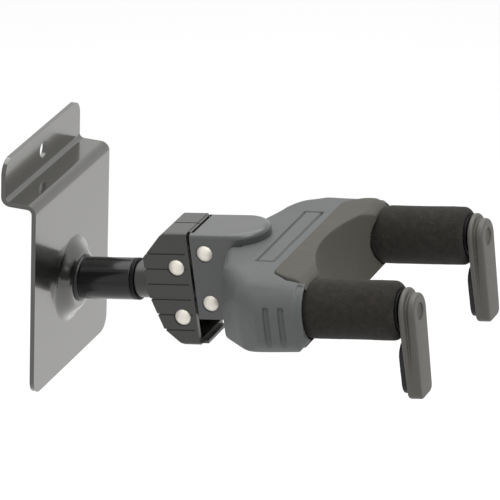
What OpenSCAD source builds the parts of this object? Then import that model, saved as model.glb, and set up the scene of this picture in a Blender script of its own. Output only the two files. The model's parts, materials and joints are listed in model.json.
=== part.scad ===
// Wall guitar hanger for slatted wall panels, with a weight-closed yoke.
// Millimetres. Z is up, the wall is on the +Y side and the hanger reaches along -Y.
// The origin is where the axis of the arm meets the back of the wall plate.

/* [Wall plate] */
// Width of the wall plate
plate_w = 72.5; // [64:0.5:90]
// Thickness of the steel sheet
sheet_t = 1.8; // [1.5:0.1:2.2]
// Top of the shelf above the axis of the arm
shelf_z = 43.2; // [36:0.1:60]
// Bottom edge of the plate below the axis of the arm
plate_drop = 35.3; // [28:0.1:50]
// How far the lip's back stands behind the wall face
lip_reach = 12.6; // [10:0.1:16]
// Height of the lip above the shelf
lip_h = 16.2; // [12:0.1:20]
// Diameter of the fixing hole in the lip
lip_hole_d = 6.5; // [4:0.5:8]
// Radius of the corners of the sheet
corner_r = 6; // [3:0.5:10]
// Radius of the pressed boss round the arm
boss_r = 17.5; // [15:0.5:20]
// Height of the pressed boss
boss_h = 4.7; // [3:0.1:6]

/* [Arm and swivel] */
// Upward tilt of the arm from the wall's normal, degrees
arm_tilt = 9; // [0:1:12]
// Outer diameter of the arm's tube
tube_d = 16.3; // [15.5:0.1:18]
// Front end of the arm's tube, along the arm's axis
tube_end = 29.4; // [26:0.1:30]
// Diameter of the swivel shaft
shaft_d = 8; // [7:0.5:8.5]

/* [Knuckle and links] */
// Width of the knuckle
knuckle_w = 24; // [23:0.5:28]
// Pitch of the fine grooves on the knuckle
groove_pitch = 6.2; // [5:0.1:8]
// Length of each link between its pivots
link_len = 13.75; // [13:0.05:14.5]
// Angle of the links above the arm's axis at rest, degrees
link_rise = 25.6; // [24:0.1:27]
// Height between the upper and the lower pivots
pivot_gap = 20.2; // [19.5:0.1:21]
// Diameter of the rivets
rivet_d = 3.6; // [3:0.1:4]
// Diameter of the rivet heads
rivet_head_d = 6.4; // [5:0.1:7]

/* [Yoke and arms] */
// Distance between the axes of the two arms
arm_gap = 77.8; // [76:0.2:84]
// Height of the arms' axes above the swivel's axis
arm_rise = 5.15; // [4.5:0.05:6]
// Outer diameter of the foam sleeves
foam_d = 22.3; // [20:0.1:22.6]
// Outer diameter of the steel tubes in the arms
rail_d = 14; // [13:0.5:15]
// Diameter of the turning rods in the arms
rod_d = 6; // [5:0.5:7]
// Front end of the foam sleeves, along the arm
foam_end = 152.4; // [140:0.1:165]

/* [Fingers] */
// Length of a finger from its axis to its tip
finger_len = 33.5; // [28:0.5:40]
// Radius of the back layer of a finger round its axis
finger_r = 8.9; // [8:0.1:10]
// Thickness of a finger
finger_t = 5.7; // [5:0.1:7]

/* [Hidden] */
$fn = 48;

run_fit = 0.05;                 // radial clearance of a running fit
eps = 0.01;
over = 1;                       // how far a cutter runs past a face

// swivel, along the arm's axis
tube_r = tube_d / 2;
tube_bore_r = tube_r - 2;
tube_start = 1.5;
shaft_r = shaft_d / 2;
thread_r = shaft_r - 1;
bush_flange_t = 1.6;
bush_len = 7;
rear_bush_s = 9;
nut_s = 3;
nut_t = 4.6;
nut_across = 10;
washer_t = 1.1;
shaft_start = 2;
shaft_head_t = 3;
shaft_head_r = 6.5;

// knuckle, along the arm's axis (s) and above it (h)
half_w = knuckle_w / 2;
wall = 2;
knuckle_back = 38.5;
knuckle_front = 57.5;
knuckle_top = 23.4;
knuckle_floor = -22.3;
knuckle_edge = 1.6;
back_wall = 4.2;
neck_r = tube_r - 1;
neck_start = tube_end + bush_flange_t + 0.2;
groove_w = 0.6;
groove_depth = 0.45;

// pivots
pivot_s = 51.8;
pivot_top = 9.5;
pivot_low = pivot_top - pivot_gap;
rivet_r = rivet_d / 2;
rivet_head_h = 1.5;
seat_depth = 0.3;                           // recess under a rivet head
seat_edge = 0.4;
link_end_r = 3.4;
link_waist = 2.6;
link_plate_t = 1.6;
link_out = half_w - wall - 0.9;             // outer face of a link's side plates
slit = 1.1;
yoke_back = knuckle_front + slit;
front_s = pivot_s + link_len * cos(link_rise);
front_top = pivot_top + link_len * sin(link_rise);
front_low = front_top - pivot_gap;

// cranks and the bar that turns them
half_gap = arm_gap / 2;
crank_angle = 45;                           // a crank points this far below level at rest
crank_r = link_len * sin(link_rise) / sin(crank_angle);
pin_r = 1.5;
pin_slack = 0.4;
bar_t = 2.6;
bar_h = arm_rise - crank_r * sin(crank_angle);
bar_half = 6.2;
ear_t = 1.5;
bar_end_s = 92;
bar_end_t = 2;
crank_s = 93;
crank_t = 3;
pin_start = 88.3;

// yoke
yoke_top = 18.7;
yoke_bottom = -9.5;
yoke_front = 117.5;
shell_t = 2.2;
floor_t = 3.4;                              // the shell's floor, with the rebate for its cover
lobe_r = yoke_top - arm_rise - 0.4;
lobe_edge = 7.5;
foot_s = 113;                               // the front slopes back to here at the foot of the yoke
corner_top_s = 77;                          // the rear edges lean back toward the bottom
corner_low_s = 73.6;
corner_x = 13.5;
corner_rad = 3.4;
rear_shoulder = [30.5, 83.9];               // the wider corners of the yoke, [x, s]
rear_shoulder_r = 5;
lobe_shoulder = [half_gap + 1.6, 95];
lobe_shoulder_r = 8.5;
rear_post = [30, 86];
lobe_post = [half_gap, 96.5];
mouth_end = 79.5;
cheek_t = 1.8;
cheek_bottom = -11.3;
cheek_rail_h = yoke_bottom + floor_t + 0.1; // underside of the cheeks and the carrier inside the shell
throat_r = 60;
throat_s = 109;
collar_r = foam_d / 2 + 0.9;                // hole round a foam sleeve in the shell
saddle_hole_r = foam_d / 2 + 0.3;           // and in the saddle
carrier_s = 100;
carrier_end = 112;
rail_start = 98;
saddle_s = 102.5;
saddle_half = 35;
saddle_t = 1.8;
saddle_proud = 0.5;
saddle_lift = 0.4;
cover_t = 2;
ledge_w = 3;
screw_r = 1.1;
rim_s = 114.6;                              // start of the stepped rim round each arm
rim_step = 0.7;
groove_s = [103.3, 109.3];                  // upright grooves in the outer side of each lobe
lobe_groove_w = 2.2;
lobe_groove_depth = 1.2;
rim_chamfer = 0.9;
cap_top = 23.1;
cap_s = 74.8;
cap_edge = 2.4;
tongue_half = 9.2;                          // the knuckle's top and floor reach forward between the cheeks
tongue_s = 1.3;
tongue_drop = 0.2;
tongue_gap = 0.5;                           // between the tongue's sides and its recess in the cap
sill_s = 2.5;
sill_t = 1.2;

// arms
rail_r = rail_d / 2;
rail_bore_r = rail_r - 1.5;
foam_r = foam_d / 2;
foam_start = carrier_end + 0.6;
foam_edge = 1.6;
rod_r = rod_d / 2;
flange_t = 1;
flange_gap = 0.7;
finger_s = foam_end + flange_t + flange_gap;
finger_lean = 0.9;                          // how far the tip stands behind the head
finger_end = finger_s + finger_t;
finger_soft = 0.8;                          // softening of the outer edges
finger_tip_r = 3;                           // corners of the tip

// ---------- frames and helpers ----------

// the arm's frame: -Y runs forward along the arm, Z is square to it
module arm_frame() rotate([-arm_tilt, 0, 0]) children();

// children drawn upright are laid forward along the arm from the place s, x, h
module along(s, x = 0, h = 0) translate([x, -s, h]) rotate([90, 0, 0]) children();

// a flat shape in the plane (s, h), drawn out across the hanger
module across(width) rotate([90, 0, -90]) linear_extrude(width, center = true) children();

// a flat shape in the plane (s, h) as a plate from x to x + t
module side_plate(x, t) translate([x + t, 0, 0]) rotate([90, 0, -90]) linear_extrude(t) children();

module both_sides() {
    children();
    mirror([1, 0, 0]) children();
}

// a flat shape in the plane (x, s), drawn upward from height h
module plan(h, t) translate([0, 0, h]) linear_extrude(t) mirror([0, 1]) children();

module ring(r_out, r_in, length) difference() {
    cylinder(h = length, r = r_out);
    translate([0, 0, -over]) cylinder(h = length + 2 * over, r = r_in);
}

module round_rect(x0, y0, x1, y1, r) {
    translate([x0 + r, y0]) square([x1 - x0 - 2 * r, y1 - y0]);
    translate([x0, y0 + r]) square([x1 - x0, y1 - y0 - 2 * r]);
    for (x = [x0 + r, x1 - r], y = [y0 + r, y1 - r]) translate([x, y]) circle(r);
}

// a quarter ring round the point p, in the quadrant that begins at the angle turn
module bend(p, r_out, r_in, turn) translate(p) rotate(turn) intersection() {
    difference() {
        circle(r_out);
        circle(r_in);
    }
    square(r_out + over);
}

// a half outline and its mirror image, as one closed outline
function both_halves(points) = concat(points,
    [for (i = [len(points) - 1 : -1 : 0]) if (points[i][0] > 0) [-points[i][0], points[i][1]]]);

// two round ends of different sizes, joined by their common tangents
module taper_bar(r1, r2, length) hull() {
    circle(r1, $fn = 32);
    translate([0, -length]) circle(r2, $fn = 32);
}

// ---------- wall plate and arm ----------

bend_r = 3.6;                               // outer radius of the folds

module sheet_profile() {
    inner_r = bend_r - sheet_t;
    translate([-sheet_t, -plate_drop]) square([sheet_t, plate_drop + shelf_z - bend_r]);
    bend([bend_r - sheet_t, shelf_z - bend_r], bend_r, inner_r, 90);
    translate([bend_r - sheet_t, shelf_z - sheet_t])
        square([lip_reach - 2 * bend_r + sheet_t, sheet_t]);
    bend([lip_reach - bend_r, shelf_z - sheet_t + bend_r], bend_r, inner_r, -90);
    translate([lip_reach - sheet_t, shelf_z - sheet_t + bend_r])
        square([sheet_t, lip_h + sheet_t - bend_r]);
}

// the boss's height at radius r: level round the arm, then a soft fall to the plate
function boss_at(r, r_flat) =
    boss_h * (r < r_flat ? 1 : (1 + cos(180 * (r - r_flat) / (boss_r - r_flat))) / 2);

module boss(front) {
    r_flat = tube_r + 1.6;
    steps = 10;
    rotate([90, 0, 0]) rotate_extrude() polygon(concat(
        [[0, 0], [0, front + boss_h]],
        [for (i = [0 : steps]) let (r = r_flat + (boss_r - r_flat) * i / steps)
            [r, front + boss_at(r, r_flat)]],
        [[boss_r, 0]]
    ));
}

module wall_plate() color([0.09, 0.09, 0.1]) difference() {
    union() {
        intersection() {
            rotate([90, 0, 90]) linear_extrude(plate_w, center = true) sheet_profile();
            rotate([90, 0, 0]) linear_extrude(4 * lip_reach, center = true)
                round_rect(-plate_w / 2, -plate_drop, plate_w / 2, shelf_z + lip_h, corner_r);
        }
        boss(sheet_t);
    }
    translate([0, eps, 0]) boss(0);
    arm_frame() along(-over) cylinder(h = 2 * boss_r, r = tube_r);
    translate([0, 2 * lip_reach, shelf_z + lip_h / 2]) rotate([90, 0, 0])
        cylinder(h = 2 * lip_reach, d = lip_hole_d);
}

module arm_tube() color([0.06, 0.06, 0.07]) arm_frame()
    along(tube_start) ring(tube_r, tube_bore_r, tube_end - tube_start);

module weld_bead() color([0.15, 0.15, 0.16]) difference() {
    bead_r = 1.2;
    front = sheet_t + boss_h;
    translate([0, -front, front * tan(arm_tilt)]) rotate([90, 0, 0])
        rotate_extrude() translate([tube_r, 0]) circle(bead_r);
    arm_frame() along(-over) cylinder(h = 2 * boss_r, r = tube_r);
    translate([-boss_r, -front, -boss_r]) cube(2 * boss_r);
}

module rear_bush() color([0.8, 0.8, 0.76]) arm_frame()
    along(rear_bush_s) ring(tube_bore_r, shaft_r + run_fit, bush_len);

module front_bush() color([0.05, 0.05, 0.05]) arm_frame() {
    along(tube_end - bush_len) ring(tube_bore_r, shaft_r + run_fit, bush_len);
    along(tube_end) ring(tube_r, shaft_r + run_fit, bush_flange_t);
}

// ---------- swivel ----------

shaft_shoulder = nut_s + nut_t + washer_t;

module swivel_shaft() color([0.7, 0.7, 0.72]) arm_frame() {
    along(shaft_start) cylinder(h = shaft_shoulder - shaft_start + eps, r = thread_r);
    along(shaft_shoulder) cylinder(h = knuckle_back + back_wall - shaft_shoulder + eps, r = shaft_r);
    along(knuckle_back + back_wall) cylinder(h = shaft_head_t, r = shaft_head_r);
}

module shaft_washer() color([0.75, 0.75, 0.76]) arm_frame()
    along(nut_s + nut_t) ring(tube_bore_r - 0.3, thread_r, washer_t - run_fit);

module shaft_nut() color([0.75, 0.75, 0.76]) arm_frame() along(nut_s) difference() {
    cylinder(h = nut_t, r = nut_across / 2 / cos(30), $fn = 6);
    translate([0, 0, -over]) cylinder(h = nut_t + 2 * over, r = thread_r);
}

// the knuckle's side view, drawn in by the distance inset
module knuckle_profile(inset = 0) polygon([
    [knuckle_back + inset, -0.6], [knuckle_back + inset, 13.4 - inset / 3],
    [46.4 + inset / 3, 22.3 - inset], [48 + inset / 3, knuckle_top - inset],
    [knuckle_front + (inset > 0 ? over : 0), knuckle_top - inset],
    [knuckle_front + (inset > 0 ? over : 0), knuckle_floor + inset],
    [51.6 + inset / 3, knuckle_floor + inset], [49.6 + inset / 3, -21.3 + inset],
    [43.5 + inset, -15.7 + inset / 3],
]);

module knuckle_grooves() {
    for (i = [-3 : 2]) intersection() {
        difference() {
            across(knuckle_w + over) knuckle_profile();
            across(knuckle_w - 2 * groove_depth) translate([groove_depth, 0]) knuckle_profile();
        }
        translate([-knuckle_w, -knuckle_front + 1.4, i * groove_pitch + 2.4])
            cube([2 * knuckle_w, knuckle_front, groove_w]);
    }
    translate([-groove_w / 2, -knuckle_front - over, knuckle_top - groove_depth])
        cube([groove_w, knuckle_front, over]);
}

// a block seen from the front with rounded long edges, cut from the knuckle's side view
module knuckle_block() intersection() {
    across(knuckle_w) knuckle_profile();
    along(knuckle_back - over) linear_extrude(knuckle_front)
        round_rect(-half_w, knuckle_floor, half_w, knuckle_top, knuckle_edge);
}

// a part of the knuckle's top or floor that reaches forward between the cheeks
module knuckle_tongue(low, high, reach) translate([-tongue_half, -knuckle_front - reach, low])
    cube([2 * tongue_half, reach + over, high - low]);

// the shallow recesses under the rivet heads of a pair of pivots
module rivet_seats(s, heights) both_sides() for (h = heights) translate([half_w - seat_depth, -s, h])
    rotate([0, 90, 0]) cylinder(h = over, d = rivet_head_d + 2 * seat_edge);

module knuckle_housing() color([0.27, 0.27, 0.26]) arm_frame() difference() {
    union() {
        knuckle_block();
        along(neck_start) cylinder(h = knuckle_back - neck_start + over, r = neck_r);
        knuckle_tongue(knuckle_top - wall, knuckle_top - tongue_drop, tongue_s);
        knuckle_tongue(knuckle_floor, knuckle_floor + sill_t, sill_s);
    }
    across(knuckle_w - 2 * wall) intersection() {
        knuckle_profile(wall);
        translate([knuckle_back + back_wall, knuckle_floor]) square([knuckle_front, 2 * knuckle_top]);
    }
    along(neck_start - over) cylinder(h = knuckle_front, r = shaft_r);
    for (h = [pivot_top, pivot_low]) translate([0, -pivot_s, h]) rotate([0, 90, 0])
        cylinder(h = 2 * knuckle_w, r = rivet_r, center = true);
    knuckle_grooves();
    rivet_seats(pivot_s, [pivot_top, pivot_low]);
}

// a rivet through the whole width, with a domed head at each end
module rivet(s, h) translate([0, -s, h]) rotate([0, 90, 0]) {
    head_r = rivet_head_d / 2;
    seat = half_w - seat_depth;
    dome_r = (head_r * head_r + rivet_head_h * rivet_head_h) / (2 * rivet_head_h);
    rotate_extrude() {
        translate([0, -half_w]) square([rivet_r, knuckle_w]);
        for (flip = [0, 1]) mirror([0, flip]) intersection() {
            translate([0, seat + rivet_head_h - dome_r]) circle(dome_r);
            translate([0, seat]) square([head_r + over, rivet_head_h + over]);
        }
    }
}

module knuckle_rivets() color([0.9, 0.9, 0.87]) arm_frame()
    for (h = [pivot_top, pivot_low]) rivet(pivot_s, h);

module yoke_rivets() color([0.9, 0.9, 0.87]) arm_frame()
    for (h = [front_top, front_low]) rivet(front_s, h);

// ---------- links ----------

module link(web_side) difference() {
    union() {
        both_sides() side_plate(link_out - link_plate_t, link_plate_t) {
            circle(link_end_r);
            translate([link_len, 0]) circle(link_end_r);
            translate([0, -link_waist]) square([link_len, 2 * link_waist]);
        }
        web_t = 1.4;
        translate([-link_out + eps, -link_len + link_end_r, web_side > 0 ? link_waist - web_t : -link_waist])
            cube([2 * (link_out - eps), link_len - 2 * link_end_r, web_t]);
    }
    for (s = [0, link_len]) translate([0, -s, 0]) rotate([0, 90, 0])
        cylinder(h = 2 * knuckle_w, r = rivet_r + run_fit, center = true);
}

module link_frame(h) arm_frame() translate([0, -pivot_s, h]) rotate([-link_rise, 0, 0]) children();

module upper_link() color([0.5, 0.5, 0.5]) link_frame(pivot_top) link(1);

module lower_link() color([0.5, 0.5, 0.5]) link_frame(pivot_low) link(-1);

// ---------- drive bar and spring ----------

module bar_plan() {
    stem_s = 47.5;
    polygon(both_halves([
        [0, stem_s], [bar_half, stem_s], [bar_half, 73], [half_gap - 2.4, bar_end_s - 2.8],
        [half_gap - 2.4, bar_end_s], [half_gap - 12, bar_end_s], [bar_half, 80], [0, 80],
    ]));
}

module drive_bar() color([0.6, 0.6, 0.58]) arm_frame() difference() {
    end_h = 7.2;
    slot_out = crank_r * cos(crank_angle) - pin_r - pin_slack;
    slot_in = crank_r + pin_r + pin_slack;
    slot_r = pin_r + pin_slack;
    union() {
        plan(bar_h - bar_t / 2, bar_t) bar_plan();
        both_sides() side_plate(bar_half - ear_t, ear_t) {
            translate([pivot_s, pivot_top]) circle(link_end_r);
            translate([pivot_s, pivot_low]) circle(link_end_r);
            translate([pivot_s - link_end_r, pivot_low]) square([2 * link_end_r, pivot_gap]);
        }
        both_sides() translate([half_gap - 12, -bar_end_s, bar_h - end_h / 2])
            cube([9.6, bar_end_t, end_h]);
    }
    both_sides() {
        for (x = [slot_out + slot_r, slot_in - slot_r]) along(bar_end_s - 10, half_gap - x, bar_h)
            cylinder(h = 20, r = slot_r);
        translate([half_gap - slot_in + slot_r, -bar_end_s - 10, bar_h - slot_r])
            cube([slot_in - slot_out - 2 * slot_r, 20, 2 * slot_r]);
    }
    for (h = [pivot_top, pivot_low]) translate([0, -pivot_s, h]) rotate([0, 90, 0])
        cylinder(h = 2 * knuckle_w, r = rivet_r, center = true);
}

// a helix of round wire about the X axis
module coil(mean_r, wire_r, pitch, turns) {
    sides = 8;
    per_turn = 20;
    last = turns * per_turn;
    points = [for (i = [0 : last], k = [0 : sides - 1])
        let (a = 360 * i / per_turn, b = 360 * k / sides, r = mean_r + wire_r * cos(b))
            [pitch * i / per_turn + wire_r * sin(b), r * cos(a), r * sin(a)]];
    skin = [for (i = [0 : last - 1], k = [0 : sides - 1]) let (n = (k + 1) % sides)
        [i * sides + k, i * sides + n, (i + 1) * sides + n, (i + 1) * sides + k]];
    first_end = [for (k = [sides - 1 : -1 : 0]) k];
    last_end = [for (k = [0 : sides - 1]) last * sides + k];
    polyhedron(points, concat(skin, [first_end, last_end]));
}

module return_spring() color([0.75, 0.75, 0.75]) arm_frame() {
    turns = 6;
    pitch = 1.25;
    translate([-turns * pitch / 2, -pivot_s, pivot_low]) coil(2.9, 0.5, pitch, turns);
}

// ---------- yoke ----------

// a ball that touches the yoke's top, one of the rounded corners of its upper half; p is [x, s]
module shoulder_ball(p, r, grow) translate([p.x, -p.y, yoke_top - r]) sphere(r + grow, $fn = 32);

// an upright post with a chamfered foot, one of the rounded corners of the yoke's lower half
module corner_post(p, foot_r, r, low, grow) translate([p.x, -p.y, low]) {
    post_h = 12.5;
    cylinder(h = over, r = foot_r + grow, $fn = 32);
    translate([0, 0, r - foot_r]) cylinder(h = post_h, r = r + grow, $fn = 32);
}

// the yoke's outer form with its flat underside at the height low, grown or shrunk all round
module yoke_form(grow, low) difference() {
    lobe_start = 99;
    lobe_len = yoke_front - lobe_start + grow;
    hull() both_sides() {
        translate([corner_x, -corner_top_s, yoke_top - corner_rad]) sphere(corner_rad + grow, $fn = 24);
        translate([corner_x, -corner_low_s, low]) cylinder(h = over, r = corner_rad + grow, $fn = 24);
        shoulder_ball(rear_shoulder, rear_shoulder_r, grow);
        corner_post(rear_post, 8, 8.6, low, grow);
        shoulder_ball(lobe_shoulder, lobe_shoulder_r, grow);
        corner_post(lobe_post, 8.8, 9.5, low, grow);
        along(lobe_start, half_gap, arm_rise) {
            cylinder(h = lobe_len - rim_chamfer, r = lobe_r + grow, $fn = 64);
            cylinder(h = lobe_len, r = lobe_r - rim_chamfer + grow, $fn = 64);
        }
        along(lobe_start, half_gap + lobe_r - lobe_edge, low + lobe_edge + grow) {
            cylinder(h = lobe_len - rim_chamfer, r = lobe_edge + grow, $fn = 32);
            cylinder(h = lobe_len, r = lobe_edge - rim_chamfer + grow, $fn = 32);
        }
    }
    translate([0, -throat_s - throat_r, low - over]) cylinder(h = 50, r = throat_r - grow, $fn = 96);
    foot_slope(foot_s + grow * sqrt(2));
}

// what is taken off the front of the yoke below the arms: 45 degrees, from the place s on the underside
module foot_slope(s) across(3 * arm_gap) polygon([
    [s - over, yoke_bottom - over], [s + 20, yoke_bottom - over], [s + 20, yoke_bottom + 20],
]);

// where the rubber saddle covers the yoke, seen from above
module saddle_zone() plan(yoke_bottom - over, 50) {
    polygon(both_halves([
        [0, saddle_s], [saddle_half, saddle_s], [saddle_half + 2, saddle_s + 0.5],
        [saddle_half + 3.6, saddle_s + 1.8], [saddle_half + 7.4, saddle_s + 7],
        [saddle_half + 10, yoke_front + 2], [0, yoke_front + 2],
    ]));
}

module arm_openings(r) both_sides() along(carrier_end - 2, half_gap, arm_rise) cylinder(h = 20, r = r);

module saddle_pad() color([0.36, 0.35, 0.32]) arm_frame() difference() {
    intersection() {
        yoke_form(saddle_proud, yoke_bottom + saddle_lift);
        saddle_zone();
    }
    yoke_form(-saddle_t, yoke_bottom - over);
    arm_openings(saddle_hole_r);
}

module name_panel() {
    line = 0.8;
    depth = 0.6;
    size = [53.6, 8.2];
    translate([-size.x / 2, -98.8, yoke_top - depth]) difference() {
        cube([size.x, size.y, over]);
        translate([line, line, -over]) cube([size.x - 2 * line, size.y - 2 * line, 3 * over]);
    }
}

module screw_spots() both_sides() {
    translate([23.9, -83.1, 0]) children();
    translate([38.5, -108.3, 0]) children();
}

// the upright grooves in the outer side of each lobe, of one depth all the way down
module lobe_grooves() difference() {
    both_sides() for (s = groove_s)
        translate([half_gap + lobe_r / 2, -s - lobe_groove_w / 2, yoke_bottom - over])
            cube([lobe_r, lobe_groove_w, arm_rise - yoke_bottom + 5.5]);
    yoke_form(-lobe_groove_depth, yoke_bottom - 2 * over);
}

// what is taken off to leave a lower rim round the outer half of each arm
module rim_cut() both_sides() difference() {
    rim_r = lobe_r - rim_step;
    translate([half_gap + 6, -yoke_front - over, yoke_bottom - over]) cube([20, yoke_front + over - rim_s, 40]);
    along(rim_s - over, half_gap, arm_rise) cylinder(h = 6, r = rim_r);
    translate([half_gap, -yoke_front - 2 * over, yoke_bottom + lobe_edge])
        cube([rim_r, 6, arm_rise - yoke_bottom - lobe_edge]);
    translate([half_gap, -yoke_front - 2 * over, yoke_bottom - 2 * over])
        cube([rim_r - lobe_edge, 6, arm_rise - yoke_bottom]);
    along(rim_s - over, half_gap + rim_r - lobe_edge, yoke_bottom + lobe_edge + rim_step)
        cylinder(h = 6, r = lobe_edge, $fn = 32);
}

module yoke_shell() color([0.42, 0.43, 0.45]) arm_frame() difference() {
    union() {
        difference() {
            yoke_form(0, yoke_bottom);
            saddle_zone();
        }
        intersection() {
            yoke_form(-saddle_t, yoke_bottom);
            saddle_zone();
        }
    }
    intersection() {
        yoke_form(-shell_t - saddle_t, yoke_bottom + floor_t);
        saddle_zone();
    }
    difference() {
        yoke_form(-shell_t, yoke_bottom + floor_t);
        saddle_zone();
    }
    plan(yoke_bottom - over, over + cover_t) cover_outline();
    plan(yoke_bottom, floor_t + over) offset(delta = -ledge_w) cover_outline();
    screw_spots() translate([0, 0, yoke_bottom]) cylinder(h = floor_t + over, r = screw_r);
    // the mouth for the bracket and the links
    translate([-half_w - eps, -mouth_end, yoke_bottom - over]) cube([2 * half_w + 2 * eps, 12, 40]);
    arm_openings(collar_r);
    lobe_grooves();
    rim_cut();
    name_panel();
}

module cover_outline() polygon(both_halves([
    [0, 80], [13.5, 80], [15, 77.5], [34, 86], [42, 96], [43, 102], [43, 109.8], [24, 109.8],
    [20, 108.6], [10, 106.2], [0, 105.4],
]));

module yoke_bottom_cover() color([0.3, 0.31, 0.32]) arm_frame() difference() {
    plan(yoke_bottom, cover_t - 0.05) cover_outline();
    screw_spots() translate([0, 0, yoke_bottom - over]) cylinder(h = 2 * cover_t, r = screw_r);
}

module cover_screws() color([0.1, 0.1, 0.1]) arm_frame() screw_spots() difference() {
    head_h = 1.2;
    union() {
        translate([0, 0, yoke_bottom - head_h]) cylinder(h = head_h, r = 2.2);
        translate([0, 0, yoke_bottom - eps]) cylinder(h = floor_t, r = screw_r);
    }
    translate([0, 0, yoke_bottom - head_h]) cylinder(h = 1.4, r = 1.1, center = true, $fn = 6);
}

// half of the cap's cross-section: level on top, with a rounded upper edge
module cap_section(low) {
    translate([0, low]) square([half_w, cap_top - cap_edge - low]);
    translate([0, low]) square([half_w - cap_edge, cap_top - low]);
    intersection() {
        translate([half_w - cap_edge, cap_top - cap_edge]) circle(cap_edge);
        translate([0, low]) square([half_w + over, cap_top]);
    }
}

// the cap from the knuckle to its round front end
module cap() {
    low = yoke_top + 0.05;
    both_sides() along(yoke_back) linear_extrude(cap_s - yoke_back) cap_section(low);
    translate([0, -cap_s, 0]) rotate([0, 0, 180]) rotate_extrude(angle = 180) cap_section(low);
}

// the space above the upper link's front end as the yoke drops
module link_relief() across(2 * (half_w - cheek_t)) polygon([
    [yoke_back - over, yoke_top - over], [yoke_back - over, 21.3], [yoke_back + 0.2, 21.3],
    [yoke_back + 1.6, 20.5], [64.3, 19.2], [66, yoke_top], [66, yoke_top - over],
]);

module cheek_profile() difference() {
    polygon([
        [yoke_back, cheek_bottom], [70.3, cheek_bottom], [74, cheek_rail_h], [carrier_s, cheek_rail_h],
        [carrier_s, 16.2], [mouth_end - 0.5, 16.2], [mouth_end - 0.5, yoke_top + 0.1],
        [yoke_back, yoke_top + 0.1],
    ]);
    translate([73.1, -3.2]) square([14.4, 17]);
}

module yoke_bracket() color([0.34, 0.34, 0.33]) arm_frame() difference() {
    union() {
        both_sides() side_plate(half_w - cheek_t, cheek_t) cheek_profile();
        cap();
    }
    link_relief();
    translate([-tongue_half - tongue_gap, -knuckle_front - tongue_s - slit, yoke_top])
        cube([2 * (tongue_half + tongue_gap), tongue_s + slit, 2 * cap_top]);
    for (h = [front_top, front_low]) translate([0, -front_s, h]) rotate([0, 90, 0])
        cylinder(h = 2 * knuckle_w, r = rivet_r, center = true);
    rivet_seats(front_s, [front_top, front_low]);
}

module arm_carrier() color([0.55, 0.55, 0.55]) arm_frame() difference() {
    block_half = rail_r + 2;
    beam_t = 4.6;
    beam_top = 5.4;
    union() {
        both_sides() along(carrier_s, half_gap, arm_rise)
            cylinder(h = carrier_end - carrier_s, r = block_half);
        translate([-half_gap, -carrier_s - beam_t, cheek_rail_h]) cube([arm_gap, beam_t, beam_top - cheek_rail_h]);
    }
    both_sides() along(carrier_s - over, half_gap, arm_rise) cylinder(h = 20, r = rail_r);
}

// ---------- arms, one builder for both sides ----------

module arm_side(side) arm_frame() translate([side * half_gap, 0, arm_rise]) children();

module arm_rail(side) color([0.5, 0.5, 0.5]) arm_side(side)
    along(rail_start) ring(rail_r, rail_bore_r, foam_end - rail_start);

module foam_sleeve(side) color([0.2, 0.19, 0.17]) arm_side(side) along(foam_start) difference() {
    length = foam_end - foam_start;
    rotate_extrude() difference() {
        union() {
            square([foam_r, length - foam_edge]);
            square([foam_r - foam_edge, length]);
            translate([foam_r - foam_edge, length - foam_edge]) circle(foam_edge);
        }
        translate([-over, -over]) square([rail_r + over, length + 2 * over]);
    }
}

module rear_rod_bush(side) color([0.8, 0.8, 0.76]) arm_side(side)
    along(rail_start) ring(rail_bore_r, rod_r + run_fit, 5);

module front_rod_bush(side) color([0.04, 0.04, 0.04]) arm_side(side) {
    along(foam_end - 6) ring(rail_bore_r, rod_r + run_fit, 6);
    along(foam_end) ring(rail_r + 1, rod_r + run_fit, flange_t);
}

module turning_rod(side) color([0.7, 0.7, 0.72]) arm_side(side)
    along(crank_s) cylinder(h = finger_end - 2.2 - crank_s, r = rod_r);

module crank(side) color([0.6, 0.6, 0.58]) arm_side(side) {
    toward = side > 0 ? 180 + crank_angle : -crank_angle;
    along(crank_s) rotate([0, 0, toward]) difference() {
        linear_extrude(crank_t) {
            circle(5);
            translate([crank_r, 0]) circle(2.6);
            translate([0, -2.6]) square([crank_r, 5.2]);
        }
        translate([0, 0, -over]) cylinder(h = crank_t + 2 * over, r = rod_r);
    }
    along(pin_start) rotate([0, 0, toward]) translate([crank_r, 0, 0])
        cylinder(h = crank_s - pin_start + eps, r = pin_r);
}

// a disc whose back and front edges are softened by their own amounts
module soft_disc(r, t, back, front) rotate_extrude($fn = 32) polygon([
    [0, 0], [r - back, 0], [r - 0.3 * back, 0.3 * back], [r, back],
    [r, t - front], [r - 0.3 * front, t - 0.3 * front], [r - front, t], [0, t],
]);

// the finger's outline between its round head and its squarer tip, as a softened slab
module finger_slab(head_r, t, head_back, head_front, tip_back, tip_front) {
    tip_x = 6.3 - finger_tip_r;
    hull() {
        soft_disc(head_r, t, head_back, head_front);
        for (x = [-tip_x, tip_x]) translate([x, finger_tip_r - finger_len, -finger_lean])
            soft_disc(finger_tip_r, t, tip_back, tip_front);
    }
}

module finger(side) color([0.45, 0.45, 0.43]) arm_side(side) along(finger_s) {
    back_t = 2.1;
    waist_t = 0.6;
    front_r = 7;
    soft = finger_soft;
    sharp = 0.05;
    difference() {
        union() {
            finger_slab(finger_r, back_t, soft, soft, soft, sharp);
            translate([0, 0, back_t - eps])
                finger_slab(front_r - 0.6, waist_t + 2 * eps, sharp, sharp, sharp, sharp);
            translate([0, 0, back_t + waist_t])
                finger_slab(front_r, finger_t - back_t - waist_t, soft, soft, sharp, soft);
        }
        translate([0, 0, -over]) cylinder(h = finger_t - 2.2 + over, r = rod_r);
        translate([0, 0, finger_t - 2.2 - eps]) cylinder(h = 2 * finger_t, r = rod_r + 0.3);
    }
}

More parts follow.
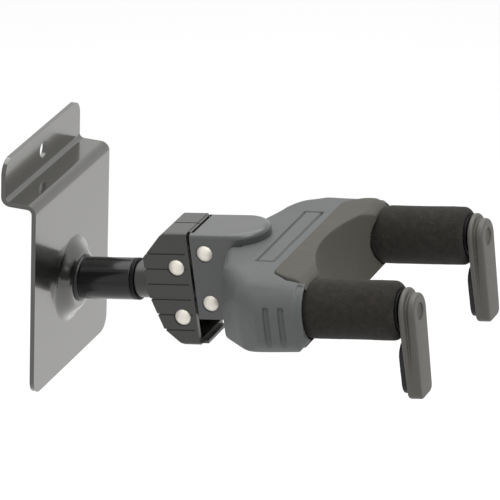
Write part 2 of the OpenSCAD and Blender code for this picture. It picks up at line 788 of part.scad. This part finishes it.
module finger_pad(side) color([0.06, 0.06, 0.06]) arm_side(side) along(finger_s) {
    pad_t = 2.1;
    pad_r = 5.6;
    pad_start = foam_r + 0.5 + pad_r;
    // the finger's flat back runs from the far edge of its head to the near edge of its tip
    flat_edge = finger_r - finger_soft;
    back_angle = atan(finger_lean / (flat_edge + finger_len - 2 * finger_tip_r));
    translate([0, flat_edge, -run_fit]) rotate([back_angle, 0, 0])
        translate([0, -flat_edge - pad_start, -pad_t]) linear_extrude(pad_t)
            taper_bar(pad_r, pad_r - 0.4, finger_len - pad_start - pad_r - 0.6);
}

module finger_plug(side) color([0.3, 0.3, 0.28]) arm_side(side)
    along(finger_end - 2.2) cylinder(h = 1.7, r = rod_r + 0.3);

module left_arm_tube() arm_rail(-1);
module right_arm_tube() arm_rail(1);
module left_foam_sleeve() foam_sleeve(-1);
module right_foam_sleeve() foam_sleeve(1);
module left_rear_rod_bush() rear_rod_bush(-1);
module right_rear_rod_bush() rear_rod_bush(1);
module left_front_rod_bush() front_rod_bush(-1);
module right_front_rod_bush() front_rod_bush(1);
module left_turning_rod() turning_rod(-1);
module right_turning_rod() turning_rod(1);
module left_crank() crank(-1);
module right_crank() crank(1);
module left_finger() finger(-1);
module right_finger() finger(1);
module left_finger_pad() finger_pad(-1);
module right_finger_pad() finger_pad(1);
module left_finger_plug() finger_plug(-1);
module right_finger_plug() finger_plug(1);

wall_plate();
arm_tube();
weld_bead();
rear_bush();
front_bush();
swivel_shaft();
shaft_washer();
shaft_nut();
knuckle_housing();
knuckle_rivets();
drive_bar();
return_spring();
upper_link();
lower_link();
yoke_bracket();
yoke_rivets();
yoke_shell();
yoke_bottom_cover();
cover_screws();
saddle_pad();
arm_carrier();
left_arm_tube();
right_arm_tube();
left_foam_sleeve();
right_foam_sleeve();
left_rear_rod_bush();
right_rear_rod_bush();
left_front_rod_bush();
right_front_rod_bush();
left_turning_rod();
right_turning_rod();
left_crank();
right_crank();
left_finger();
right_finger();
left_finger_pad();
right_finger_pad();
left_finger_plug();
right_finger_plug();
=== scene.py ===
import json
import math

import bpy
import bmesh
from mathutils import Matrix, Vector, noise


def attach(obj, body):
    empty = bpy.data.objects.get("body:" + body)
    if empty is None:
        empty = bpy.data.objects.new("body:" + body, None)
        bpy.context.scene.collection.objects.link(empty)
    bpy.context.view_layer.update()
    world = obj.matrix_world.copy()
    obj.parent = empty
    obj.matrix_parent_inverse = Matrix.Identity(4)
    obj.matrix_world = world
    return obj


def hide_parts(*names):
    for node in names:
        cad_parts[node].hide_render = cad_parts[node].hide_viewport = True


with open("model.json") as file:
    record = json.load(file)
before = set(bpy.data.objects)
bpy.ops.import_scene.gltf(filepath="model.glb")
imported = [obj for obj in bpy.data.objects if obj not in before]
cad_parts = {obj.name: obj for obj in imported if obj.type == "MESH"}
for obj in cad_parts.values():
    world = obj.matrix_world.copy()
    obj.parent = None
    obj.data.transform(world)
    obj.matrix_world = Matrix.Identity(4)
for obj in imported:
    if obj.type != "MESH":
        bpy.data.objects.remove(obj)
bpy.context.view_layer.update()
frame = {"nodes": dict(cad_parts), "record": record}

# The looks of the wall guitar hanger: materials, moulded and soft pieces, and a plain white studio.
# Sizes of the object are in millimetres, in the tilted arm's own frame; at() turns a place into metres.

MM = 0.001
TILT = math.radians(9)                                   # the arm's upward tilt
FORWARD = Vector((0, -math.cos(TILT), math.sin(TILT)))   # along the arm, away from the wall
UP = Vector((0, math.sin(TILT), math.cos(TILT)))         # square to the arm, upward
SIDE = Vector((1, 0, 0))

scene = bpy.context.scene
nodes = frame["nodes"]


def at(x, s, h):
    """The point x across, s along the arm and h above its axis, in millimetres."""
    return (SIDE * x + FORWARD * s + UP * h) * MM


# ---------- materials ----------

def linear(r, g, b):
    """A colour given as screen values from 0 to 255, as linear values."""
    def one(c):
        c /= 255
        return c / 12.92 if c <= 0.04045 else ((c + 0.055) / 1.055) ** 2.4
    return (one(r), one(g), one(b), 1)


def shade(tone, amount):
    """The same tone, darker."""
    return tuple(c * amount for c in tone[:3]) + (1,)


class Shader:
    """A material under construction: a principled shader with node helpers."""

    MIX_A, MIX_B, MIX_RESULT = 6, 7, 2                   # a mix node's colour sockets

    def __init__(self, name):
        self.material = bpy.data.materials.new(name)
        self.material.use_nodes = True
        self.tree = self.material.node_tree
        self.bsdf = self.tree.nodes["Principled BSDF"]
        self.coords = self.tree.nodes.new("ShaderNodeTexCoord")

    def link(self, value, socket):
        """Feeds a socket with a constant or with another node's output."""
        if isinstance(value, (tuple, float, int)):
            socket.default_value = value
        else:
            self.tree.links.new(value, socket)

    def noise(self, scale, detail=3, roughness=0.5, stretch=(1, 1, 1)):
        mapping = self.tree.nodes.new("ShaderNodeMapping")
        mapping.inputs["Scale"].default_value = stretch
        node = self.tree.nodes.new("ShaderNodeTexNoise")
        node.inputs["Scale"].default_value = scale
        node.inputs["Detail"].default_value = detail
        node.inputs["Roughness"].default_value = roughness
        self.link(self.coords.outputs["Object"], mapping.inputs["Vector"])
        self.link(mapping.outputs["Vector"], node.inputs["Vector"])
        return node.outputs["Fac"]

    def cells(self, scale):
        node = self.tree.nodes.new("ShaderNodeTexVoronoi")
        node.inputs["Scale"].default_value = scale
        self.link(self.coords.outputs["Object"], node.inputs["Vector"])
        return node.outputs["Distance"]

    def ramp(self, value, stops):
        """stops: (position, grey value) pairs."""
        node = self.tree.nodes.new("ShaderNodeValToRGB")
        ramp = node.color_ramp
        while len(ramp.elements) < len(stops):
            ramp.elements.new(0.5)
        for element, (position, grey) in zip(ramp.elements, stops):
            element.position = position
            element.color = (grey, grey, grey, 1)
        self.link(value, node.inputs["Fac"])
        return node.outputs["Color"]

    def mix(self, factor, a, b):
        node = self.tree.nodes.new("ShaderNodeMix")
        node.data_type = "RGBA"
        self.link(factor, node.inputs["Factor"])
        self.link(a, node.inputs[self.MIX_A])
        self.link(b, node.inputs[self.MIX_B])
        return node.outputs[self.MIX_RESULT]

    def color(self, value):
        self.link(value, self.bsdf.inputs["Base Color"])

    def rough(self, value, low, high):
        node = self.tree.nodes.new("ShaderNodeMapRange")
        node.inputs["To Min"].default_value = low
        node.inputs["To Max"].default_value = high
        self.link(value, node.inputs["Value"])
        self.link(node.outputs["Result"], self.bsdf.inputs["Roughness"])

    def bump(self, *layers):
        """layers: (height, distance in millimetres) pairs, chained."""
        normal = None
        for height, distance in layers:
            node = self.tree.nodes.new("ShaderNodeBump")
            node.inputs["Strength"].default_value = 1
            node.inputs["Distance"].default_value = distance * MM
            self.link(height, node.inputs["Height"])
            if normal is not None:
                self.link(normal, node.inputs["Normal"])
            normal = node.outputs["Normal"]
        self.link(normal, self.bsdf.inputs["Normal"])

    def set(self, **values):
        for name, value in values.items():
            self.bsdf.inputs[name.replace("_", " ")].default_value = value


def painted(name, tone, low, high, peel=0.004, coat=0.0, ior=1.5, tint=(1, 1, 1, 1)):
    """Sprayed paint: an even tone with faint cloudiness, and a shallow orange-peel in its gloss."""
    s = Shader(name)
    cloud, gloss, broad_peel, fine_peel = s.noise(40), s.noise(90, 4), s.noise(700, 2), s.noise(3200, 2)
    s.color(s.mix(cloud, shade(tone, 0.8), tone))
    s.rough(gloss, low, high)
    s.bump((broad_peel, peel), (fine_peel, peel * 0.6))
    s.set(IOR=ior, Specular_Tint=tint)
    s.set(Coat_Weight=coat, Coat_Roughness=low * 0.6, Coat_IOR=ior, Coat_Tint=tint)
    return s.material


def moulded(name, tone, low, high, grain=1700, depth=0.02, level=0.5):
    """Moulded plastic: spark-eroded grain, slight tone changes and worn-smooth patches."""
    s = Shader(name)
    cloud, wear = s.noise(35, 4), s.noise(300, 4)
    fine_grain, broad_grain = s.noise(grain, 2), s.noise(350, 2)
    s.color(s.mix(cloud, shade(tone, 0.85), tone))
    s.rough(wear, low, high)
    s.bump((fine_grain, depth), (broad_grain, depth * 0.4))
    s.set(Specular_IOR_Level=level)
    return s.material


def foam_material():
    """Closed-cell foam: fine pits darkened with painted shade, a charcoal tone and sparse paler specks of
    dust.
    """
    s = Shader("foam")
    dark, pale, pit_shade, dust = linear(31, 29, 26), linear(42, 39, 35), linear(18, 17, 15), linear(70, 66, 59)
    cells, blotch, fine, broad = s.cells(2300), s.noise(420, 4, 0.6), s.noise(900), s.noise(150, 2)
    base = s.mix(s.ramp(blotch, [(0.35, 0.0), (0.7, 1.0)]), dark, pale)
    # painted shade: the hollows of the cells are coloured darker, where shade would fall in them
    pit_shaded = s.mix(s.ramp(cells, [(0.0, 1.0), (0.35, 0.0)]), base, pit_shade)
    specks = s.ramp(s.noise(1500, 1, 0.4), [(0.72, 0.0), (0.8, 1.0)])
    s.color(s.mix(specks, pit_shaded, dust))
    s.rough(blotch, 0.85, 0.98)
    s.bump((cells, 0.09), (fine, 0.06), (broad, 0.1))
    s.set(Specular_IOR_Level=0.15, Sheen_Weight=0.05, Sheen_Roughness=0.6)
    return s.material


def steel(name, tone=(0.62, 0.62, 0.6, 1), rough=(0.25, 0.4), grain=0.004, metallic=1.0):
    """Bare metal with a fine brushed grain."""
    s = Shader(name)
    brushed = s.noise(500, 3, 0.5, (1, 12, 1))
    s.color(s.mix(brushed, shade(tone, 0.85), tone))
    s.rough(brushed, *rough)
    s.bump((brushed, grain))
    s.set(Metallic=metallic)
    return s.material


MATERIALS = {
    "plate_paint": painted("plate_paint", linear(10, 10, 9), 0.2, 0.26, peel=0.0003, coat=1.0, ior=1.66,
                           tint=(1, 0.99, 0.95, 1)),
    "tube_paint": painted("tube_paint", linear(6, 6, 7), 0.12, 0.17, peel=0.001, ior=1.45),
    "nylon": moulded("nylon", linear(205, 205, 195), 0.4, 0.5),
    "black_plastic": moulded("black_plastic", linear(6, 6, 7), 0.4, 0.5, level=0.18),
    "steel": steel("steel"),
    "knuckle_metal": painted("knuckle_metal", linear(36, 36, 33), 0.36, 0.46, peel=0.01, coat=0.5),
    # a paler copy of the knuckle's paint for the bracket: painted light for the light on its cap
    "bracket_metal_painted_light": painted("bracket_metal_painted_light", linear(56, 58, 57), 0.36, 0.46, peel=0.01, coat=0.6, ior=1.55),
    "rivet": steel("rivet", (0.84, 0.8, 0.72, 1), (0.46, 0.52), grain=0.0003, metallic=0.5),
    "yoke_plastic": moulded("yoke_plastic", linear(78, 80, 80), 0.46, 0.56),
    "black_screw": painted("black_screw", linear(22, 22, 22), 0.3, 0.4),
    "saddle_rubber": moulded("saddle_rubber", linear(69, 67, 60), 0.6, 0.72, grain=1800, depth=0.03,
                             level=0.4),
    "cast_alloy": steel("cast_alloy", (0.55, 0.55, 0.54, 1), (0.45, 0.6)),
    "foam": foam_material(),
    "finger_plastic": moulded("finger_plastic", linear(77, 75, 70), 0.42, 0.52),
    "pad_rubber": moulded("pad_rubber", linear(12, 12, 13), 0.5, 0.6, level=0.4),
    "plug_plastic": moulded("plug_plastic", linear(62, 60, 54), 0.5, 0.6),
}

SLOTS = {part["node"]: part["material_slot"] for part in frame["record"]["subparts"]}
PAINTED_LIGHTER = {"yoke_bracket": "bracket_metal_painted_light"}                # the knuckle's paint made paler on the bracket: painted light for the light that falls on its cap

for name, node in nodes.items():
    node.data.materials.clear()
    node.data.materials.append(MATERIALS[PAINTED_LIGHTER.get(name, SLOTS[name])])


# ---------- building new pieces ----------

BODIES = frame["record"]["behaviour"]["bodies"]
BODY_OF = {node: body for body, members in BODIES.items() for node in members}
WELD = ("WELD", {"merge_threshold": 0.002 * MM})


def local(point):
    """A point in metres as x across, s along the arm and h above its axis, in millimetres."""
    return Vector((point.dot(SIDE), point.dot(FORWARD), point.dot(UP))) / MM


def local_box(name):
    """The lowest and highest x, s and h of a CAD node."""
    points = [local(v.co) for v in nodes[name].data.vertices]
    return [Vector([pick(p[k] for p in points) for k in range(3)]) for pick in (min, max)]


def modify(piece, *modifiers):
    """Gives an object some modifiers, each a (kind, settings) pair."""
    for kind, settings in modifiers:
        modifier = piece.modifiers.new(kind.lower(), kind)
        for key, value in settings.items():
            setattr(modifier, key, value)


def processed(mesh, *modifiers):
    """The mesh after some modifiers."""
    holder = bpy.data.objects.new("holder", mesh)
    scene.collection.objects.link(holder)
    modify(holder, *modifiers)
    result = bpy.data.meshes.new_from_object(holder.evaluated_get(bpy.context.evaluated_depsgraph_get()))
    bpy.data.objects.remove(holder)
    return result


def place(name, mesh, *replaced):
    """Puts a finished mesh in the scene in the stead of some CAD nodes of one body and one material."""
    piece = bpy.data.objects.new(name, mesh)
    scene.collection.objects.link(piece)
    mesh.materials.clear()
    mesh.materials.append(MATERIALS[SLOTS[replaced[0]]])
    mesh.shade_smooth()
    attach(piece, BODY_OF[replaced[0]])
    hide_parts(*replaced)
    return piece


def melted_mesh(name, voxel, rounds, share=None, extra=()):
    """A CAD node's mesh with its edges rounded, as a moulding's are.

    Finer voxels and fewer rounds of smoothing round them less. share gives, for a place in the arm's
    frame, how much of the rounding it gets. extra holds closed (vertices, faces) forms that are melted
    into it.
    """
    mesh = nodes[name].data.copy()
    bm = bmesh.new()
    bm.from_mesh(mesh)
    for verts, faces in extra:
        corners = [bm.verts.new(v) for v in verts]
        for face in faces:
            bm.faces.new([corners[i] for i in face])
    bm.to_mesh(mesh)
    bm.free()
    mesh = processed(mesh, WELD, ("REMESH", {"mode": "VOXEL", "voxel_size": voxel * MM}))
    sharp = [v.co.copy() for v in mesh.vertices] if share else None
    mesh = processed(mesh, ("SMOOTH", {"factor": 0.5, "iterations": rounds}))
    if share:
        for v, before in zip(mesh.vertices, sharp):
            v.co = before.lerp(v.co, share(local(before)))
    return mesh


def rise(value, start, end):
    """0 before start, 1 after end, with a smooth rise between them."""
    t = min(max((value - start) / (end - start), 0), 1)
    return t * t * (3 - 2 * t)


def lathe(rings, origin, direction, sides, ripple=None):
    """Vertices and faces of closed rings about an axis; rings are (distance, radius) pairs in millimetres.

    Where the first and last radius are 0 the form is solid, otherwise it closes on itself as a sleeve.
    """
    across = direction.orthogonal().normalized()
    other = direction.cross(across)
    solid = rings[0][1] == 0
    verts, faces = [], []
    for along_axis, radius in rings:
        for k in range(sides):
            a = 2 * math.pi * k / sides
            outward = across * math.cos(a) + other * math.sin(a)
            r = radius + (ripple(along_axis, radius, outward) if ripple else 0)
            verts.append(origin + (direction * along_axis + outward * r) * MM)
    count = len(rings)
    for i in range(count - 1 if solid else count):
        n = (i + 1) % count
        for k in range(sides):
            m = (k + 1) % sides
            faces.append((i * sides + k, i * sides + m, n * sides + m, n * sides + k))
    return verts, faces


def mesh_from(name, *forms):
    """One mesh from (vertices, faces) forms, with coincident points joined and faces turned outward."""
    mesh = bpy.data.meshes.new(name)
    verts, faces = [], []
    for form_verts, form_faces in forms:
        faces += [tuple(i + len(verts) for i in face) for face in form_faces]
        verts += form_verts
    mesh.from_pydata(verts, [], faces)
    bm = bmesh.new()
    bm.from_mesh(mesh)
    bmesh.ops.remove_doubles(bm, verts=bm.verts, dist=0.0005 * MM)
    bmesh.ops.recalc_face_normals(bm, faces=bm.faces)
    bm.to_mesh(mesh)
    bm.free()
    return mesh


# ---------- foam sleeves ----------

def quarter(steps):
    """Angles that divide a quarter turn into equal steps, both ends included."""
    return [math.pi / 2 * k / steps for k in range(steps + 1)]


def underneath(outward):
    """1 for a direction that points down from an arm's axis, 0 for one to the side or up."""
    return rise(-outward.dot(UP), 0.35, 0.9)


def uneven(s, outward, seed, height, around, along):
    """Unevenness of a sleeve's surface, with its height and its frequency around the arm and along it."""
    return height * noise.noise(outward * around + Vector((0, 0, s * along)) + seed)


def foam_sleeve(side):
    """A slightly uneven foam tube with soft ends, pushed over the steel tube of an arm."""
    node = side + "_foam_sleeve"
    low, high = local_box(node)
    tube_low, tube_high = local_box(side + "_arm_tube")
    outer, bore = (high.x - low.x) / 2, (tube_high.x - tube_low.x) / 2
    length = high.y - low.y
    back_edge, front_edge, row = 1.6, 2.6, 0.5           # radii of the two ends, spacing between the rings
    dish, dish_edge = 0.25, 1.2                          # the front face falls back a little at the bore
    rings = [(0, bore)]
    rings += [(back_edge * (1 - math.cos(a)), outer - back_edge * (1 - math.sin(a))) for a in quarter(5)]
    inner_length = length - back_edge - front_edge
    rows = round(inner_length / row)
    rings += [(back_edge + inner_length * k / rows, outer) for k in range(1, rows)]
    rings += [(length - front_edge * (1 - math.sin(a)), outer - front_edge * (1 - math.cos(a)))
              for a in quarter(8)]
    rings += [(length - dish, bore + dish_edge), (length - 2 * dish, bore)]
    skin = bore + 2                                      # rings inside this radius stay even
    grip, grip_end, spared = 3.6, 8, 0.85                # where the shell's pinch fades, its loss underneath
    swell, fine = (0.13, 1.1, 0.11), (0.035, 7, 0.6)     # height, frequency around the arm and along it
    seed = Vector((3 if side == "left" else 11, 0, 0))   # so that the two sleeves differ

    def ripple(s, r, outward):
        """A broad swell, fine unevenness, and a pinch where the foam enters the shell."""
        if r < skin:
            return 0
        pinch = (1 - rise(s, grip, grip_end)) * (1 - spared * underneath(outward))
        return uneven(s, outward, seed, *swell) + uneven(s, outward, seed, *fine) - pinch

    origin = at((low.x + high.x) / 2, low.y, (low.z + high.z) / 2)
    mesh = mesh_from(node + "_soft", lathe(rings, origin, FORWARD, sides=120, ripple=ripple))
    place(node + "_soft", mesh, node)


# ---------- yoke: shell, rubber saddle ----------

foam_low, foam_high = local_box("right_foam_sleeve")
FOAM_R = (foam_high.x - foam_low.x) / 2
ARM_X, ARM_H = (foam_low.x + foam_high.x) / 2, (foam_low.z + foam_high.z) / 2

RIM_BACK = 0.4                                           # from the foam's rear end to the rim's liner
RIM_GAP, RIM_WALL = 0.4, 0.8                             # the liner's clearance and its thickness
HOLE_GAP = 0.5                                           # the finished hole's clearance round the foam

PANEL_WIDTH, PANEL_DEPTH, PANEL_BACK = 53.6, 8.4, 90.6   # the outline panel on the yoke's top
PANEL_LINE, PANEL_CUT = 1.3, 2.0                         # its line's width, and the cut's depth from the top
FOOT = 113                                               # where the slope meets the underside


def under_slope(bottom, half):
    """What the 45 degree slope takes off the front of the yoke, below the arms."""
    over, reach = 1, 12
    profile = ((FOOT - over, bottom - over), (FOOT + reach, bottom - over), (FOOT + reach, bottom + reach))
    verts = [at(x, s, h) for x in (-half, half) for s, h in profile]
    return verts, [(0, 1, 2), (3, 5, 4), (0, 3, 4, 1), (1, 4, 5, 2), (2, 5, 3, 0)]


def cut(mesh, *form):
    """The mesh with a solid of given vertices and faces taken off it."""
    cutter = bpy.data.objects.new("cutter", mesh_from("cutter", form))
    scene.collection.objects.link(cutter)
    result = processed(mesh, ("BOOLEAN", {"operation": "DIFFERENCE", "object": cutter, "solver": "EXACT"}))
    bpy.data.objects.remove(cutter)
    return result


def fill_shoulders(mesh):
    """Rounds the yoke out a little where its top turns down to its rear sides.

    It lifts the surface along its normal round a place on each side, by an amount that fades with distance.
    """
    centre, spread, lift = (35.5, 87, 17), (8, 6, 7), 1.1
    moves = []
    for v in mesh.vertices:
        p = local(v.co)
        off = sum(((value - middle) / size) ** 2
                  for value, middle, size in zip((abs(p.x), p.y, p.z), centre, spread))
        if v.normal.dot(UP - FORWARD) > 0:
            moves.append((v, v.normal * lift * math.exp(-off) * MM))
    for v, move in moves:
        v.co += move


def panel_frame(top):
    """The outline panel on the yoke's top, as one solid of four joined bars."""
    half, line, over = PANEL_WIDTH / 2, PANEL_LINE, 1
    edges = ((half, PANEL_BACK, PANEL_BACK + PANEL_DEPTH),
             (half - line, PANEL_BACK + line, PANEL_BACK + PANEL_DEPTH - line))
    verts = [at(x, s, h) for h in (top - PANEL_CUT, top + over) for half_x, back, front in edges
             for x, s in ((-half_x, back), (half_x, back), (half_x, front), (-half_x, front))]
    faces = []
    for k in range(4):
        n = (k + 1) % 4
        faces += [(k, n, 4 + n, 4 + k), (8 + k, 8 + n, 12 + n, 12 + k),
                  (k, n, 8 + n, 8 + k), (4 + k, 4 + n, 12 + n, 12 + k)]
    return verts, faces


def rim_liner(side, back, front):
    """Stiffens the thin rim on the outer half of an arm's hole, and has no thickness elsewhere."""
    inner = FOAM_R + RIM_GAP
    outer = inner + RIM_WALL
    outer_half = 0.3                                     # how far sideways a direction in that half points

    def thin(s, r, outward):
        """Draws the rings in to the inner radius outside that half."""
        return 0 if side * outward.x > outer_half else inner - r

    rings = [(0, inner), (0, outer), (front - back, outer), (front - back, inner)]
    return lathe(rings, at(side * ARM_X, back, ARM_H), FORWARD, sides=96, ripple=thin)


def arm_hole(side, back, front):
    """The round hole that an arm's foam stands in, as a solid that reaches out at both ends."""
    radius, over = FOAM_R + HOLE_GAP, 2
    depth = front - back + 2 * over
    rings = [(0, 0), (0, radius), (depth, radius), (depth, 0)]
    return lathe(rings, at(side * ARM_X, back - over, ARM_H), FORWARD, sides=128)


def yoke_shell():
    """The shell with moulded edges, clean holes for the arms, its slope underneath and the outline panel."""
    low, high = local_box("yoke_shell")
    back, front = foam_low.y + RIM_BACK, high.y
    mouth_x, lobe_x, lobe_s = (12.5, 18), (42, 45), (front - 17, front - 15.5)
    most = 0.8                                           # of the rounding that is taken back

    def share(p):
        """Less rounding at the bracket's mouth, in the upright grooves and on the rims round the arms."""
        mouth = 1 - rise(abs(p.x), *mouth_x)
        lobe = rise(abs(p.x), *lobe_x) * rise(p.y, *lobe_s)
        return 1 - most * max(mouth, lobe)

    liners = [rim_liner(side, back, front) for side in (-1, 1)]
    mesh = melted_mesh("yoke_shell", voxel=0.38, rounds=14, share=share, extra=liners)
    fill_shoulders(mesh)
    for side in (-1, 1):
        mesh = cut(mesh, *arm_hole(side, back, front))
    mesh = cut(mesh, *under_slope(low.z, 2 * high.x))
    mesh = cut(mesh, *panel_frame(high.z))
    place("yoke_shell_moulded", mesh, "yoke_shell")


def saddle():
    """The rubber saddle, thicker where it climbs over the root of each arm and lower at its front edge."""
    hump_height, fall_depth, fall_length = 0.25, 2.2, 5.5
    low, high = local_box("saddle_pad")
    back, front = low.y, high.y
    mesh = melted_mesh("saddle_pad", voxel=0.4, rounds=7)
    for v in mesh.vertices:
        p = local(v.co)
        hump = (1 - rise(abs(abs(p.x) - ARM_X), 2, 9)) * rise(p.y, back + 3, back + 10)
        fall = rise(p.y, front - fall_length, front) ** 2
        upper = rise(p.z, 13, 18)                        # only the upper side moves
        v.co += UP * ((hump_height * hump - fall_depth * fall) * upper * MM)
    place("saddle_soft", mesh, "saddle_pad")


# ---------- fingers, pads and rivets ----------

def rivets(node, name):
    """Bright rivets with smoothly domed heads, one for each solid of the CAD node."""
    head_h, shaft_r, steps = 1.5, 1.8, 12
    low, high = local_box(node)
    half, head_r = high.x, (high.y - low.y) / 2
    dome_r = (head_r ** 2 + head_h ** 2) / (2 * head_h)
    sweep = math.asin(head_r / dome_r)
    angles = [sweep * k / steps for k in range(steps + 1)]
    dome = [(half - dome_r * (1 - math.cos(a)), dome_r * math.sin(a)) for a in angles]
    half_rings = dome + [(half - head_h, shaft_r)]
    rings = half_rings + [(-d, r) for d, r in reversed(half_rings)]
    forms = [lathe(rings, at(0, (low.y + high.y) / 2, h), SIDE, sides=64)
             for h in (low.z + head_r, high.z - head_r)]
    place(name, mesh_from(name, *forms), node)


foam_sleeve("left")
foam_sleeve("right")
yoke_shell()
saddle()
for side in ("left", "right"):
    finger, finger_pad = side + "_finger", side + "_finger_pad"
    place(finger + "_moulded", melted_mesh(finger, voxel=0.28, rounds=4), finger)
    pad = place(finger_pad + "_soft", melted_mesh(finger_pad, voxel=0.25, rounds=5), finger_pad)
rivets("knuckle_rivets", "knuckle_rivets_domed")
rivets("yoke_rivets", "yoke_rivets_domed")


# ---------- edges of the CAD pieces ----------

FLAT = ("DECIMATE", {"decimate_type": "DISSOLVE", "angle_limit": math.radians(0.5)})
NORMALS = ("WEIGHTED_NORMAL", {"keep_sharp": True})
EDGES = {
    "wall_plate": 0.45, "arm_tube": 0.6, "front_bush": 0.3, "knuckle_housing": 0.35, "yoke_bracket": 0.4,
    "yoke_bottom_cover": 0.4,
}


def rounded_edges(width):
    """A modifier that rounds the sharp edges."""
    return ("BEVEL", {"width": width * MM, "segments": 3, "limit_method": "ANGLE",
                      "angle_limit": math.radians(30), "harden_normals": True})


for name, node in nodes.items():
    node.data.shade_smooth()
    if name in EDGES:
        modify(node, WELD, FLAT, rounded_edges(EDGES[name]), NORMALS)


# ---------- camera, lights and floor ----------

PHOTO_AZIMUTH = math.radians(-69.5)
PHOTO_ELEVATION = math.radians(23.08)
PHOTO_ROLL = math.radians(1.69)
CAMERA_DISTANCE = 2.0369                                 # from the aim, in metres like the aim itself
CAMERA_AIM = Vector((-0.0001, -0.0749, 0.0248))
LENS, SENSOR = 386.2, 36                                 # in millimetres


def make_camera():
    """The camera that sees the object as the photo does."""
    a, e, r = PHOTO_AZIMUTH, PHOTO_ELEVATION, PHOTO_ROLL
    back = Vector((math.sin(a) * math.cos(e), -math.cos(a) * math.cos(e), math.sin(e)))
    right = Vector((math.cos(a), math.sin(a), 0))
    up = back.cross(right)
    turned_right = math.cos(r) * right + math.sin(r) * up
    turned_up = -math.sin(r) * right + math.cos(r) * up
    data = bpy.data.cameras.new("photo_camera")
    data.lens = LENS
    data.sensor_width = SENSOR
    data.clip_start, data.clip_end = 0.1, 20
    camera = bpy.data.objects.new("photo_camera", data)
    scene.collection.objects.link(camera)
    camera.matrix_world = Matrix.Translation(CAMERA_AIM + back * CAMERA_DISTANCE) @ Matrix(
        (turned_right, turned_up, back)).transposed().to_4x4()
    scene.camera = camera


def area_light(name, position, target, size, power):
    """A white rectangular lamp that faces a target, placed and sized in metres."""
    data = bpy.data.lights.new(name, "AREA")
    data.shape = "RECTANGLE"
    data.size, data.size_y = size
    data.energy = power
    light = bpy.data.objects.new(name, data)
    scene.collection.objects.link(light)
    light.location = position
    light.rotation_mode = "QUATERNION"
    light.rotation_quaternion = (Vector(target) - Vector(position)).to_track_quat("-Z", "Y")


def make_world():
    """An even white surround."""
    world = bpy.data.worlds.new("studio")
    world.use_nodes = True
    background = world.node_tree.nodes["Background"]
    background.inputs["Color"].default_value = (1, 1, 1, 1)
    background.inputs["Strength"].default_value = 0.9
    scene.world = world


def make_floor():
    """A wide pale floor, well below the object."""
    mesh = bpy.data.meshes.new("floor")
    half, level = 4.0, -0.45
    corners = [(-half, -half, level), (half, -half, level), (half, half, level), (-half, half, level)]
    mesh.from_pydata(corners, [], [(0, 1, 2, 3)])
    floor = bpy.data.objects.new("floor", mesh)
    scene.collection.objects.link(floor)
    s = Shader("floor")
    s.color(s.mix(s.noise(3, 3), (0.68, 0.68, 0.68, 1), (0.72, 0.72, 0.72, 1)))
    s.rough(s.noise(40, 3), 0.7, 0.8)
    mesh.materials.append(s.material)


make_camera()
make_world()
make_floor()
area_light("top", position=(0.55, -0.1, 1.7), target=(0.5, -0.1, 0), size=(2.6, 2.4), power=40)
area_light("key", position=(-0.7, -0.7, 1.3), target=(0, -0.08, 0.02), size=(0.8, 0.6), power=4)
scene.view_settings.view_transform = "Standard"
